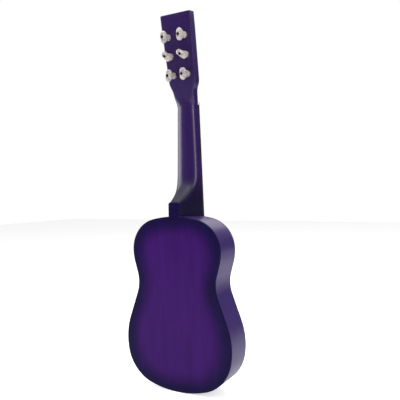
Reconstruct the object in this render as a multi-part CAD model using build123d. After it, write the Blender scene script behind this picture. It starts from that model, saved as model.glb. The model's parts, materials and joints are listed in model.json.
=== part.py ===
"""A child's small six-string guitar, built up from the pieces a real one is glued and screwed from.

Millimetres. +Z runs up the neck, the soundboard faces -Y, the back faces +Y and the bass side is -X.
The body stands on z = 0 and the origin is the bottom centre of the whole guitar's box.
"""
from build123d import *
import math
import os

# ---------------------------------------------------------------- driving dimensions
# Body: half of its outline, from the tail's middle round to the crown, as tangent arcs.
TAIL_ARC = (165.0, 17.0)      # radius, heading at its end in degrees
HIP_ARC = (63.0, 80.0)
BOUT_ARC = (101.0, 110.5)
FLANK = 42.0                  # straight from the lower bout into the waist
WAIST_ARC = (53.0, 74.0)      # the one hollow arc
SHOULDER = 16.5               # straight from the waist into the upper bout
CHEST_ARC = (73.5, 90.0)
SHOULDER_ARC = (49.0, 166.5)
BODY_DEPTH = 52.4
BODY_TOP = 270.5              # where the crown meets the heel
MID_Y = 5.0                   # the body's middle plane, so that the whole box is centred on y = 0
PLATE = 2.5
RIM = 2.2
BACK_ROUND = 2.0
FRONT_ROUND = 1.5
LINING_WIDE = 5.0
LINING_TALL = 4.0

# Strings and scale.
SCALE = 353.0
NUT_Z = 447.0
NUT_THICK = 4.3
NUT_HEIGHT = 6.1              # underside of the strings above the soundboard's plane, at the nut
SADDLE_HEIGHT = 9.9           # and at the saddle
NUT_SPACING = 5.3
SADDLE_SPACING = 9.4
STRING_DIAMETERS = (0.30, 0.38, 0.55, 0.70, 0.90, 1.10)
FRET_COUNT = 15
FRET_HALF = 1.1
FRET_TALL = 1.0
TANG_HALF = 0.3
TANG_DEEP = 1.5

# Neck.
NUT_HALF = 17.5
JOINT_HALF = 22.3
BOARD_THICK = 4.5
BOARD_END = 237.0
NECK_DEPTHS = ((311.0, 16.5), (335.0, 15.2), (380.0, 14.4), (411.0, 14.6), (434.0, 15.4), (462.0, 16.0))
NECK_TURN = (0.82, 0.737)  # where the neck's section turns, as shares of its half width and depth
SWEEP_DEPTH = 32.4  # depth and height at which the heel's straight slope becomes its curve
SWEEP_Z = 303.5
HEEL_TUCK = 4.0  # the heel's rounded envelope closes this far above the heel, inside the shaft
HEEL_TUCK_DEPTH = 12.6
HEEL_TUCK_IN = -0.4
HEEL_FOOT_DEPTH = 60.0
HEEL_FOOT_LOW = 12.0  # the heel starts this far below the crown, before the body is cut from it
BUTTON_ROUND = 4.0
BUTTON_LAP = 10.0  # how far the button's rectangle reaches down into the plate
HEEL_BACK_HALF = 10.0
HEEL_BACK_TOP = 292.5
HEEL_ROUND = 2.0

# Headstock: a slab that leans back from the nut.
HEAD_Z = 451.3
HEAD_TILT = 10.2
HEAD_THICK = 14.2
HEAD_LENGTH = 137.4
HEAD_TOP_HALF = 26.8
HEAD_WAIST_HALF = 18.3
HEAD_FLARE_HALF = 24.4
FLARE_START = 12.0
FLARE_ANGLE = 27.0
HEAD_ROOT = 14.0              # how far the slab runs down inside the neck
HEAD_BLEND = (438.0, 478.0)   # heights between which its back edges grow out of the neck's curve
HEAD_BLEND_DEPTHS = (15.4, 45.0)
HEAD_BLEND_OUT = 12.0
HEAD_CORNER = 1.5
HEAD_STRAIGHT = 20.0  # length of the parallel stretch at the headstock's top
TUNER_ROWS = (44.3, 73.5, 102.7)
TUNER_X = (12.8, 13.8, 14.4)

# Tuners, measured along the line square to the headstock, from its front face.
POST_R = 3.0
WAIST_R = 1.9
RUN_FIT = 0.05
POST_TOP = 11.0
WAIST_BOTTOM = 1.5
WAIST_TOP = 7.6
SLEEVE_R = 4.0
FLANGE_R = 5.0
FLANGE_THICK = 1.2
WASHER_R = 5.2
WASHER_THICK = 0.8
HUB_R = 5.2
HUB_LONG = 11.0
WING_SPAN = 22.0
WING_THICK = 9.0
WING_LONG = 9.6
TUNER_DEEP = 21.5             # screw's tip from the headstock's back face
SCREW_R = 2.2
SCREW_HEAD = 1.0
SCREW_SHANK_R = 1.2
SCREW_LONG = 12.0
WASHER_GAP = 0.3
WING_ANGLES = {1: 14.0, 2: -38.0, 3: 4.0, 4: 6.0, 5: -48.0, 6: 4.0}
LEAVE_HEIGHT = (2.3, 6.2, 5.5)   # where a string reaches its post, per row
WIND_STEP = (1.0, -1.0, -1.0)    # and which way its turns climb
TURNS = 3

# Bridge, soundhole and inside.
SADDLE_Z = NUT_Z - SCALE
BRIDGE_SIZE = (96.0, 22.0, 7.5)
BRIDGE_WING = 17.0            # the bridge's ends slope down over this length
BRIDGE_TIP = 3.0              # to this thickness
BRIDGE_Z = SADDLE_Z - 6.0
PIN_Z = SADDLE_Z - 11.0
PIN_R = 2.5
PIN_HEAD_R = 3.3
PIN_REACH = 2.0               # how far the pins stand through the bridge plate
SADDLE_SIZE = (58.0, 2.6)
SOUNDHOLE_Z = 188.0
SOUNDHOLE_R = 29.0
ROSETTE_IN = 33.0
ROSETTE_OUT = 41.0
ROSETTE_DEEP = 0.6
ROSETTE_LINE = 1.0
BRACE = (6.0, 9.0)
TOP_BRACES_Z = (50.0, 148.0, 228.0)
BACK_BRACES_Z = (55.0, 132.0, 225.0)
BRIDGE_PLATE = (110.0, 30.0, 2.0)
BLOCK_WIDE = 50.0
NECK_BLOCK_TALL = 20.0
TAIL_BLOCK_TALL = 15.0
BOLT_R = 2.5
# Small fits and roundings
FRET_SHY = 0.4                # how far a fret stops short of the board's edge
OCTAVE = 12                   # the fret that has two dots
OCTAVE_APART = 9.0            # sideways place of those dots
DOT_R = 2.5
DOT_DEEP = 1.0
SLOT_SEAT = 0.65              # how deep a string sits in its pin's slot
TOUCH_GAP = 2.4               # a string ends this far short of its winding, so that the post turns freely
PIN_BREAK = 6.2               # height above the soundboard where a string leaves its pin
BALL_GAP = 0.2                # gap between a pin's end and its ball end
BALL_LONG = 3.0
STRING_BENDS = [1.6, 2.0, 8.0]  # bend radii at the pin, the saddle and the nut
SLOT_TALL = 6.0               # cutters for the string slots reach this high
SLOT_OVER = 0.6               # and this much past each side
NUT_PROUD = 0.9               # the nut stands this far above the strings' seats
NUT_BEVEL = 1.6
SLOT_SLACK = 0.1              # play of a string in its slot
SADDLE_SEAT = 4.0             # the saddle's foot stands this high above the soundboard
SADDLE_PROUD = 0.2
SADDLE_ROUND = 1.2
RAMP_HALF = 0.8               # the notch from each pin to the saddle
RAMP_FLOOR = 5.2
PIN_SLACK = 0.03
PIN_HEAD_TALL = 2.6
PIN_HEAD_ROUND = 1.5
PIN_SLOT_HALF = 0.7
PIN_SLOT_DEEP = 1.4
POST_INSET = 4.0              # the post ends this far inside the knob's outer face
POST_ROUND = 1.2
HUB_ROUND = 1.8
WING_ROUND = 3.0
SCREW_ROUND = 0.6
CROSS_SIZE = (2.6, 0.6, 0.9)  # each arm of a screw's cross recess
SCREW_SHORT = 0.5
SCREW_SLACK = 0.02
TURN_GAP = 0.02               # gap between turns of a string on its post
BOLT_REACH = 23.5             # how far the neck screw goes into the heel
BOLT_HEAD_TALL = 3.5
BOLT_HEAD_R = 5.0
BOLT_HEAD_ROUND = 1.5
BALL_R = 1.9
BALL_OFF = 1.4

MARKER_FRETS = (5, 7, 9, 12)

# ---------------------------------------------------------------- worked-out places
FRONT_Y = MID_Y - BODY_DEPTH / 2
BACK_Y = MID_Y + BODY_DEPTH / 2
TOP_IN_Y = FRONT_Y + PLATE
BACK_IN_Y = BACK_Y - PLATE
TILT = math.radians(HEAD_TILT)
HEAD = Plane(origin=(0, FRONT_Y, HEAD_Z), x_dir=(1, 0, 0), z_dir=(0, -math.cos(TILT), math.sin(TILT)))
KNOB_NEAR = -HEAD_THICK - WASHER_THICK - WASHER_GAP
TUNER_FAR = -HEAD_THICK - TUNER_DEEP
KNOB_FAR = TUNER_FAR + SCREW_HEAD
BIG = 400.0


def neck_half(z):
    """Half the neck's and fingerboard's width at a height."""
    return NUT_HALF + (NUT_Z - z) * (JOINT_HALF - NUT_HALF) / (NUT_Z - BODY_TOP)


def fret_z(number):
    """Height of a fret: each one shortens the string by a semitone."""
    return NUT_Z - SCALE * (1 - 2 ** (-number / 12))


def string_x(number, spacing):
    """Sideways place of a string; string 1 is on the treble side."""
    return (3.5 - number) * spacing


def tuner_row(number):
    """Row of a string's tuner, 0 nearest the nut: the outer strings take the nearest ones."""
    return {1: 0, 2: 1, 3: 2, 4: 2, 5: 1, 6: 0}[number]


def tuner_at(number):
    """The tuner's place on the headstock's face: sideways and along."""
    row = tuner_row(number)
    side = 1 if number <= 3 else -1
    return side * TUNER_X[row], TUNER_ROWS[row]


def body_outline(inset=0.0):
    """The body's outline as a face in its own X and Z, moved in by inset all round."""
    edges = []
    point, way, heading = Vector(0, inset), Vector(1, 0), 0.0

    def arc(radius, heading_to):
        """Add a tangent arc; a hollow one turns the other way."""
        nonlocal point, way, heading
        turn = heading_to - heading
        radius = radius - inset if turn > 0 else radius + inset
        edge = JernArc(start=point, tangent=way, radius=radius, arc_size=turn)
        point, way, heading = edge @ 1, edge % 1, heading_to
        edges.append(edge)

    def straight(length):
        """Add a straight run along the present heading."""
        nonlocal point
        edges.append(Line(point, point + way * length))
        point = point + way * length

    arc(*TAIL_ARC)
    arc(*HIP_ARC)
    arc(*BOUT_ARC)
    straight(FLANK)
    arc(*WAIST_ARC)
    straight(SHOULDER)
    arc(*CHEST_ARC)
    arc(*SHOULDER_ARC)
    crown = point.X / math.sin(math.radians(heading))
    arc(crown + inset, 180.0)
    half = Curve() + edges
    return make_face(half + mirror(half, about=Plane.YZ))


def slab(sketch, back_y, thick):
    """A sketch in X and Z, thickened forwards from back_y."""
    return extrude(Plane.XZ.offset(-back_y) * sketch, thick)


def block(x, y, z):
    """A box between two values on each axis."""
    size = (x[1] - x[0], y[1] - y[0], z[1] - z[0])
    middle = ((x[0] + x[1]) / 2, (y[0] + y[1]) / 2, (z[0] + z[1]) / 2)
    return Pos(*middle) * Box(*size)


def rod_y(x, z, y, radius):
    """A round rod along Y between two values of y."""
    return Plane(origin=(x, y[0], z), z_dir=(0, 1, 0)) * Cylinder(
        radius, y[1] - y[0], align=(Align.CENTER, Align.CENTER, Align.MIN))


def rod_z(x, y, z, radius):
    """A round rod along Z between two heights."""
    return Pos(x, y, z[0]) * Cylinder(radius, z[1] - z[0], align=(Align.CENTER, Align.CENTER, Align.MIN))


def peg(n, radius):
    """A round rod on a tuner's line, between two distances from the headstock's front face."""
    return Pos(0, 0, n[0]) * Cylinder(radius, n[1] - n[0], align=(Align.CENTER, Align.CENTER, Align.MIN))


def on_head(number, shape):
    """Put a shape made on the Z axis at a string's tuner."""
    x, along = tuner_at(number)
    return HEAD * (Pos(x, along, 0) * shape)


def joined(shapes):
    """Several separate solids as one node."""
    return Compound(children=[solid for shape in shapes for solid in shape.solids()])


# ---------------------------------------------------------------- body
def inner_space(inset):
    """Everything inside the rim's outline moved in by inset, between the two plates."""
    return slab(body_outline(inset), BACK_IN_Y, BACK_IN_Y - TOP_IN_Y)


def bolt_hole():
    """The hole for the screw that holds the neck, along Z through the block, rim and heel."""
    return rod_z(0, MID_Y, (BODY_TOP - RIM - NECK_BLOCK_TALL - 5, BODY_TOP + 24), BOLT_R)


def make_soundboard():
    """The front plate, with the soundhole, the rosette's channel and the pins' holes."""
    board = slab(body_outline(), TOP_IN_Y, PLATE)
    edge = board.faces().sort_by(Axis.Y)[0].outer_wire().edges()
    board = fillet(edge, FRONT_ROUND)
    board -= rod_y(0, SOUNDHOLE_Z, (FRONT_Y - 1, TOP_IN_Y + 1), SOUNDHOLE_R)
    board -= rosette_ring(ROSETTE_IN, ROSETTE_OUT)
    return board - pin_holes()


def rosette_ring(inner, outer):
    """A flat ring round the soundhole, as deep as the rosette's channel."""
    depth = (FRONT_Y, FRONT_Y + ROSETTE_DEEP)
    return rod_y(0, SOUNDHOLE_Z, depth, outer) - rod_y(0, SOUNDHOLE_Z, depth, inner)


def make_back_plate():
    """The back plate, with the button that covers the heel's end."""
    button = Pos(0, (BODY_TOP + HEEL_BACK_TOP - BUTTON_LAP) / 2) * Rectangle(
        2 * HEEL_BACK_HALF, HEEL_BACK_TOP - BODY_TOP + BUTTON_LAP)
    button = fillet(button.vertices().group_by(Axis.Y)[-1], BUTTON_ROUND)
    plate = slab(body_outline() + button, BACK_Y, PLATE)
    edge = plate.faces().sort_by(Axis.Y)[-1].outer_wire().edges()
    return fillet(edge, BACK_ROUND)


def make_rims():
    """The two bent sides, which meet at the tail and the crown."""
    ring = inner_space(0) - inner_space(RIM) - bolt_hole()
    bass = ring & block((-BIG, 0), (-BIG, BIG), (-BIG, BIG))
    treble = ring & block((0, BIG), (-BIG, BIG), (-BIG, BIG))
    return bass, treble


def end_block(low, high):
    """A glue block inside one end of the body, between two heights."""
    space = block((-BLOCK_WIDE / 2, BLOCK_WIDE / 2), (TOP_IN_Y, BACK_IN_Y), (low, high))
    return space & inner_space(RIM)


def make_linings(blocks):
    """The strips that widen the glue joint between the rims and each plate."""
    ring = inner_space(RIM) - inner_space(RIM + LINING_WIDE)
    for piece in blocks:
        ring -= piece
    front = ring & block((-BIG, BIG), (TOP_IN_Y, TOP_IN_Y + LINING_TALL), (-BIG, BIG))
    back = ring & block((-BIG, BIG), (BACK_IN_Y - LINING_TALL, BACK_IN_Y), (-BIG, BIG))
    return front, back


def make_braces(heights, y):
    """Bars across a plate, cut to the space between the linings."""
    space = inner_space(RIM + LINING_WIDE)
    wide = BRACE[0] / 2
    return joined([block((-BIG, BIG), y, (z - wide, z + wide)) & space for z in heights])


def pin_places():
    """Sideways places of the bridge pins."""
    return [string_x(number, SADDLE_SPACING) for number in range(1, 7)]


def pin_holes():
    """The holes that the bridge pins pass through."""
    rods = [rod_y(x, PIN_Z, (FRONT_Y - BIG, FRONT_Y + 12), PIN_R) for x in pin_places()]
    return Compound(children=rods)


# ---------------------------------------------------------------- neck
def neck_section(z, deep, extra=0.0):
    """The neck's section: flat in front, full at the shoulders and rounded behind."""
    half = max(neck_half(z), NUT_HALF) + extra
    side, back = NECK_TURN[0] * half, FRONT_Y + NECK_TURN[1] * deep
    behind = Spline(
        (-half, FRONT_Y), (-side, back), (0, FRONT_Y + deep), (side, back), (half, FRONT_Y),
        tangents=((0, 1), (0, -1)))
    return Plane.XY.offset(z) * make_face(Curve() + [behind, Line((half, FRONT_Y), (-half, FRONT_Y))])


def heel_section(z):
    """The heel's section: as wide as the neck in front, narrow and flat behind."""
    half = neck_half(z)
    corners = [(-half, FRONT_Y), (half, FRONT_Y), (HEEL_BACK_HALF, BACK_IN_Y), (-HEEL_BACK_HALF, BACK_IN_Y)]
    face = make_face(Polyline(*corners, close=True))
    return Plane.XY.offset(z) * fillet(face.vertices().group_by(Axis.Y)[-1], HEEL_ROUND)


def make_heel():
    """The heel: its back runs flat up from the body, then sweeps forward into the neck."""
    solid = loft([heel_section(BODY_TOP - HEEL_FOOT_LOW), heel_section(NECK_DEPTHS[1][0])], ruled=True)
    low = BODY_TOP - HEEL_FOOT_LOW
    top = NECK_DEPTHS[1][0]
    back_top = (BACK_IN_Y, HEEL_BACK_TOP)
    slope_end = (FRONT_Y + SWEEP_DEPTH, SWEEP_Z)
    slope_way = Vector(slope_end[0] - back_top[0], slope_end[1] - back_top[1])
    blend = TangentArc(slope_end, (FRONT_Y + NECK_DEPTHS[1][1], top), tangent=slope_way)
    side = Curve() + [
        Polyline(
            (FRONT_Y + NECK_DEPTHS[1][1], top), (FRONT_Y, top), (FRONT_Y, low), (BACK_IN_Y, low), back_top),
        Line(back_top, slope_end),
        blend,
    ]
    foot = neck_section(low, HEEL_FOOT_DEPTH)
    rounding = loft([foot, neck_section(top + HEEL_TUCK, HEEL_TUCK_DEPTH, HEEL_TUCK_IN)], ruled=True)
    return solid & extrude(Plane.YZ * make_face(side), BIG, both=True) & rounding


def head_outline():
    """The headstock's outline in its own plane: a waist, an S-shaped flare and a square top."""
    start = Vector(HEAD_WAIST_HALF, FLARE_START)
    reach = HEAD_FLARE_HALF - HEAD_WAIST_HALF
    radius = reach / (2 * (1 - math.cos(math.radians(FLARE_ANGLE))))
    out = JernArc(start=start, tangent=(0, 1), radius=radius, arc_size=-FLARE_ANGLE)
    back = JernArc(start=out @ 1, tangent=out % 1, radius=radius, arc_size=FLARE_ANGLE)
    half = Curve() + [
        Line((0, -HEAD_ROOT), (NUT_HALF, -HEAD_ROOT)),
        Line((NUT_HALF, -HEAD_ROOT), start),
        out,
        back,
        Line(back @ 1, (HEAD_TOP_HALF, HEAD_LENGTH - HEAD_STRAIGHT)),
        Line((HEAD_TOP_HALF, HEAD_LENGTH - HEAD_STRAIGHT), (HEAD_TOP_HALF, HEAD_LENGTH)),
        Line((HEAD_TOP_HALF, HEAD_LENGTH), (0, HEAD_LENGTH)),
    ]
    face = make_face(half + mirror(half, about=Plane.YZ))
    return fillet(face.vertices().group_by(Axis.Y)[-1], HEAD_CORNER)


def make_head():
    """The headstock, its root rounded off into the neck's section."""
    head = extrude(HEAD * head_outline(), -HEAD_THICK)
    low, high = HEAD_BLEND
    foot = neck_section(low, HEAD_BLEND_DEPTHS[0])
    rounding = loft([foot, neck_section(high, HEAD_BLEND_DEPTHS[1], HEAD_BLEND_OUT)], ruled=True)
    return (head & rounding) + (head & block((-BIG, BIG), (-BIG, BIG), (high, BIG * 2)))


def make_neck():
    """Heel, shaft and headstock in one piece of wood, with the holes for the screw and the tuners."""
    shaft = loft([neck_section(z, deep) for z, deep in NECK_DEPTHS])
    neck = shaft + make_heel() + make_head()
    neck -= block((-BIG, BIG), (-BIG, FRONT_Y), (0, BIG * 2))
    before_head = HEAD * (Pos(0, 0, BIG / 2) * Box(BIG, BIG, BIG))
    neck -= before_head & block((-BIG, BIG), (-BIG, BIG), (HEAD_Z, BIG * 2))
    neck -= slab(body_outline(), BACK_Y, BODY_DEPTH)
    neck -= bolt_hole()
    for number in range(1, 7):
        neck -= on_head(number, peg((-HEAD_THICK - 1, 1), SLEEVE_R))
    return neck


def make_fingerboard():
    """The board under the strings, with a slot for each fret and a pocket for each dot."""
    low, high = neck_half(BOARD_END), neck_half(NUT_Z)
    corners = [(-low, BOARD_END), (low, BOARD_END), (high, NUT_Z), (-high, NUT_Z)]
    board = slab(make_face(Polyline(*corners, close=True)), FRONT_Y, BOARD_THICK)
    for number in range(1, FRET_COUNT + 1):
        board -= fret_tang(number)
    return board - make_markers()


def fret_tang(number):
    """The part of a fret that stands in its slot."""
    z = fret_z(number)
    half = neck_half(z) - FRET_SHY
    face = FRONT_Y - BOARD_THICK
    return block((-half, half), (face, face + TANG_DEEP), (z - TANG_HALF, z + TANG_HALF))


def make_frets():
    """The fret wires: a rounded crown on a thin tang."""
    wires = []
    for number in range(1, FRET_COUNT + 1):
        z = fret_z(number)
        half = neck_half(z) - FRET_SHY
        crown = Plane(origin=(-half, FRONT_Y - BOARD_THICK, z), x_dir=(0, 0, 1), z_dir=(1, 0, 0)) * make_face(
            Curve() + [
                ThreePointArc((-FRET_HALF, 0), (0, FRET_TALL), (FRET_HALF, 0)),
                Line((FRET_HALF, 0), (-FRET_HALF, 0))])
        wires.append(extrude(crown, 2 * half) + fret_tang(number))
    return joined(wires)


def make_markers():
    """The position dots, let in flush between frets; the octave has two."""
    dots = []
    for number in MARKER_FRETS:
        z = (fret_z(number) + fret_z(number - 1)) / 2
        sides = (-OCTAVE_APART, OCTAVE_APART) if number == OCTAVE else (0.0,)
        y = FRONT_Y - BOARD_THICK
        dots += [rod_y(x, z, (y, y + DOT_DEEP), DOT_R) for x in sides]
    return joined(dots)


# ---------------------------------------------------------------- strings
def head_point(x, along, out):
    """A point given on the headstock's face: sideways, along and out from it."""
    return HEAD.from_local_coords(Vector(x, along, out))


def string_points(number):
    """The corners of a string's line, from its ball end to just short of its tuner's post."""
    radius = STRING_DIAMETERS[number - 1] / 2
    at_saddle = string_x(number, SADDLE_SPACING)
    at_nut = string_x(number, NUT_SPACING)
    in_slot = PIN_Z + PIN_R - SLOT_SEAT
    crest = Vector(at_saddle, FRONT_Y - SADDLE_HEIGHT - radius, SADDLE_Z)
    nut = Vector(at_nut, FRONT_Y - NUT_HEIGHT - radius, NUT_Z)
    post_x, along = tuner_at(number)
    side = 1 if number <= 3 else -1
    leave = LEAVE_HEIGHT[tuner_row(number)]
    touch = head_point(post_x - side * (WAIST_R + radius), along, leave)
    end = touch + (nut - touch).normalized() * TOUCH_GAP
    return [
        Vector(at_saddle, ball_y()[0], in_slot),
        Vector(at_saddle, FRONT_Y - PIN_BREAK, in_slot),
        crest,
        nut,
        end,
    ]


def ball_y():
    """Depths between which the ball ends lie, against the bridge plate."""
    low = TOP_IN_Y + BRIDGE_PLATE[2] + PIN_REACH + BALL_GAP
    return low, low + BALL_LONG


def make_string(number):
    """One string, whole from its ball end to its tuner."""
    points = string_points(number)
    path = FilletPolyline(*points, radius=STRING_BENDS)
    start = Plane(origin=points[0], z_dir=points[1] - points[0])
    return sweep(start * Circle(STRING_DIAMETERS[number - 1] / 2), path=path)


def string_slots(low, high, extra):
    """Room for the strings across the nut or saddle, from their undersides upwards."""
    cuts = []
    for number in range(1, 7):
        points = string_points(number)
        wide = STRING_DIAMETERS[number - 1] + extra
        for start, end in ((points[1], points[2]), (points[2], points[3]), (points[3], points[4])):
            run = end - start
            if start.Z > high or end.Z < low:
                continue
            frame = Plane(origin=start, x_dir=Vector(1, 0, 0), z_dir=run)
            # The frame's own y runs away from the soundboard or towards it; the slot opens forwards.
            forward = 1 if frame.y_dir.Y < 0 else -1
            tall = SLOT_TALL
            lift = forward * (tall / 2 - wide / 2)
            cuts.append(frame * (Pos(0, lift, run.length / 2) * Box(wide, tall, run.length + SLOT_OVER)))
    return cuts


def make_nut():
    """The nut, with a slot for each string."""
    high = FRONT_Y - NUT_HEIGHT - NUT_PROUD
    base = block((-NUT_HALF, NUT_HALF), (high, FRONT_Y), (NUT_Z, NUT_Z + NUT_THICK))
    base = chamfer(base.faces().sort_by(Axis.Z)[-1].edges().sort_by(Axis.Y)[0], NUT_BEVEL)
    for cut in string_slots(NUT_Z, NUT_Z + NUT_THICK, SLOT_SLACK):
        base -= cut
    return base


def saddle_block(grow=0.0):
    """The saddle's blank, standing in the bridge's slot."""
    wide, thick = SADDLE_SIZE
    half = thick / 2
    return block(
        (-wide / 2, wide / 2),
        (FRONT_Y - SADDLE_HEIGHT - grow, FRONT_Y - SADDLE_SEAT),
        (SADDLE_Z - half, SADDLE_Z + half))


def make_saddle():
    """The saddle, with its crest rounded and a nick under each string."""
    saddle = saddle_block(SADDLE_PROUD)
    saddle = fillet(saddle.faces().sort_by(Axis.Y)[0].edges().filter_by(Axis.X), SADDLE_ROUND)
    for cut in string_slots(SADDLE_Z - SADDLE_SIZE[1], SADDLE_Z + SADDLE_SIZE[1], SLOT_SLACK):
        saddle -= cut
    return saddle


def make_bridge():
    """The bridge, with its saddle slot, pin holes and the ramps the strings leave by."""
    wide, tall, deep = BRIDGE_SIZE
    tip, shoulder = wide / 2, wide / 2 - BRIDGE_WING
    section = [
        (-tip, FRONT_Y),
        (tip, FRONT_Y),
        (tip, FRONT_Y - BRIDGE_TIP),
        (shoulder, FRONT_Y - deep),
        (-shoulder, FRONT_Y - deep),
        (-tip, FRONT_Y - BRIDGE_TIP),
    ]
    bridge = extrude(Plane.XY.offset(BRIDGE_Z - tall / 2) * make_face(Polyline(*section, close=True)), tall)
    bridge -= saddle_block(BIG)
    for x in pin_places():
        bridge -= block((x - RAMP_HALF, x + RAMP_HALF), (-BIG, FRONT_Y - RAMP_FLOOR), (PIN_Z, SADDLE_Z))
    return bridge - pin_holes()


def make_pins():
    """The bridge pins: round heads, and a slot down each shank for the string."""
    pins = []
    top = FRONT_Y - BRIDGE_SIZE[2]
    for x in pin_places():
        shank = rod_y(x, PIN_Z, (top, TOP_IN_Y + BRIDGE_PLATE[2] + PIN_REACH), PIN_R - PIN_SLACK)
        head = rod_y(x, PIN_Z, (top - PIN_HEAD_TALL, top), PIN_HEAD_R)
        head = fillet(head.faces().sort_by(Axis.Y)[0].edges(), PIN_HEAD_ROUND)
        slot = block((x - PIN_SLOT_HALF, x + PIN_SLOT_HALF), (top, BIG), (PIN_Z + PIN_R - PIN_SLOT_DEEP, PIN_Z + PIN_R))
        pins.append(shank - slot + head)
    return joined(pins)


# ---------------------------------------------------------------- tuners
def make_bushing():
    """The sleeve that a tuner's post turns in, with a flange on the front of the headstock."""
    sleeve = peg((-HEAD_THICK, FLANGE_THICK), SLEEVE_R) + peg((0, FLANGE_THICK), FLANGE_R)
    return sleeve - peg((-HEAD_THICK - 1, FLANGE_THICK + 1), POST_R + RUN_FIT)


def make_washer():
    """The washer between the headstock's back and the knob."""
    depth = (-HEAD_THICK - WASHER_THICK, -HEAD_THICK)
    return peg(depth, WASHER_R) - peg(depth, POST_R + RUN_FIT)


def make_post(bore_only=False):
    """The post: a shaft through the headstock with a waist for the string and a domed top."""
    inner = KNOB_FAR + POST_INSET
    if bore_only:
        return peg((inner, 0), POST_R)
    post = peg((inner, WAIST_BOTTOM), POST_R)
    post += peg((WAIST_BOTTOM, WAIST_TOP), WAIST_R)
    top = peg((WAIST_TOP, POST_TOP), POST_R)
    post += fillet(top.faces().sort_by(Axis.Z)[-1].edges(), POST_ROUND)
    return post - peg((inner, KNOB_FAR + SCREW_LONG), SCREW_SHANK_R)


def make_knob(angle):
    """The moulded knob: a round hub by the headstock and two wings across its outer end."""
    hub = peg((KNOB_NEAR - HUB_LONG, KNOB_NEAR), HUB_R)
    hub = fillet(hub.edges().filter_by(GeomType.CIRCLE), HUB_ROUND)
    wing = Pos(0, 0, KNOB_FAR) * extrude(SlotOverall(WING_SPAN, WING_THICK), WING_LONG)
    wing = fillet(wing.edges(), WING_ROUND)
    knob = hub + Rot(0, 0, 90 + angle) * wing
    return knob - make_post(bore_only=True) - peg((KNOB_FAR - 1, KNOB_FAR + SCREW_LONG), SCREW_SHANK_R)


def make_screw():
    """The screw that holds the knob to the post, with a domed, cross-slotted head."""
    head = peg((TUNER_FAR, KNOB_FAR), SCREW_R)
    head = fillet(head.faces().sort_by(Axis.Z)[0].edges(), SCREW_ROUND)
    for turn in (0, 90):
        head -= Pos(0, 0, TUNER_FAR) * Rot(0, 0, turn) * Box(*CROSS_SIZE)
    return head + peg((KNOB_FAR, KNOB_FAR + SCREW_LONG - SCREW_SHORT), SCREW_SHANK_R - SCREW_SLACK)


def make_winding(number):
    """The string's turns round its post, as rings one above another."""
    row = tuner_row(number)
    radius = STRING_DIAMETERS[number - 1] / 2
    rings = []
    for turn in range(TURNS):
        out = LEAVE_HEIGHT[row] + WIND_STEP[row] * turn * (2 * radius + TURN_GAP)
        rings.append(Pos(0, 0, out) * Torus(WAIST_R + radius, radius))
    return joined([on_head(number, ring) for ring in rings])


def make_neck_screw():
    """The screw through the neck block into the heel, with a washer head inside the body."""
    low = BODY_TOP - RIM - NECK_BLOCK_TALL
    shank = rod_z(0, MID_Y, (low, BODY_TOP + BOLT_REACH), BOLT_R)
    head = rod_z(0, MID_Y, (low - BOLT_HEAD_TALL, low), BOLT_HEAD_R)
    head = fillet(head.faces().sort_by(Axis.Z)[0].edges(), BOLT_HEAD_ROUND)
    return shank + head


def make_all():
    """Every node by name."""
    nodes = {}
    neck_block = end_block(BODY_TOP - RIM - NECK_BLOCK_TALL, BODY_TOP) - bolt_hole()
    tail_block = end_block(0, RIM + TAIL_BLOCK_TALL)
    nodes["soundboard"] = make_soundboard()
    nodes["back_plate"] = make_back_plate()
    nodes["rim_bass"], nodes["rim_treble"] = make_rims()
    nodes["neck_block"] = neck_block
    nodes["tail_block"] = tail_block
    nodes["top_linings"], nodes["back_linings"] = make_linings((neck_block, tail_block))
    nodes["soundboard_braces"] = make_braces(TOP_BRACES_Z, (TOP_IN_Y, TOP_IN_Y + BRACE[1]))
    nodes["back_braces"] = make_braces(BACK_BRACES_Z, (BACK_IN_Y - BRACE[1], BACK_IN_Y))
    wide, tall, thick = BRIDGE_PLATE
    plate = block(
        (-wide / 2, wide / 2), (TOP_IN_Y, TOP_IN_Y + thick), (BRIDGE_Z - tall / 2, BRIDGE_Z + tall / 2))
    nodes["bridge_plate"] = plate - pin_holes()
    band = rosette_ring(ROSETTE_IN + ROSETTE_LINE, ROSETTE_OUT - ROSETTE_LINE)
    lines = [
        rosette_ring(ROSETTE_IN, ROSETTE_IN + ROSETTE_LINE),
        rosette_ring(ROSETTE_OUT - ROSETTE_LINE, ROSETTE_OUT),
    ]
    nodes["rosette_band"] = band
    nodes["rosette_lines"] = joined(lines)
    nodes["neck"] = make_neck()
    nodes["neck_screw"] = make_neck_screw()
    nodes["fingerboard"] = make_fingerboard()
    nodes["frets"] = make_frets()
    nodes["fret_markers"] = make_markers()
    nodes["nut"] = make_nut()
    nodes["saddle"] = make_saddle()
    nodes["bridge"] = make_bridge()
    nodes["bridge_pins"] = make_pins()
    balls = [rod_y(x, PIN_Z + BALL_OFF, ball_y(), BALL_R) for x in pin_places()]
    nodes["string_ball_ends"] = joined(balls)
    numbers = range(1, 7)
    nodes["tuner_bushings"] = joined([on_head(number, make_bushing()) for number in numbers])
    nodes["tuner_washers"] = joined([on_head(number, make_washer()) for number in numbers])
    for number in numbers:
        nodes[f"string_{number}"] = make_string(number)
        nodes[f"tuner_{number}_post"] = on_head(number, make_post())
        nodes[f"tuner_{number}_knob"] = on_head(number, make_knob(WING_ANGLES[number]))
        nodes[f"tuner_{number}_screw"] = on_head(number, make_screw())
        nodes[f"tuner_{number}_winding"] = make_winding(number)
    return nodes


os.makedirs("parts", exist_ok=True)
for name, shape in make_all().items():
    export_step(shape, f"parts/{name}.step")
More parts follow.
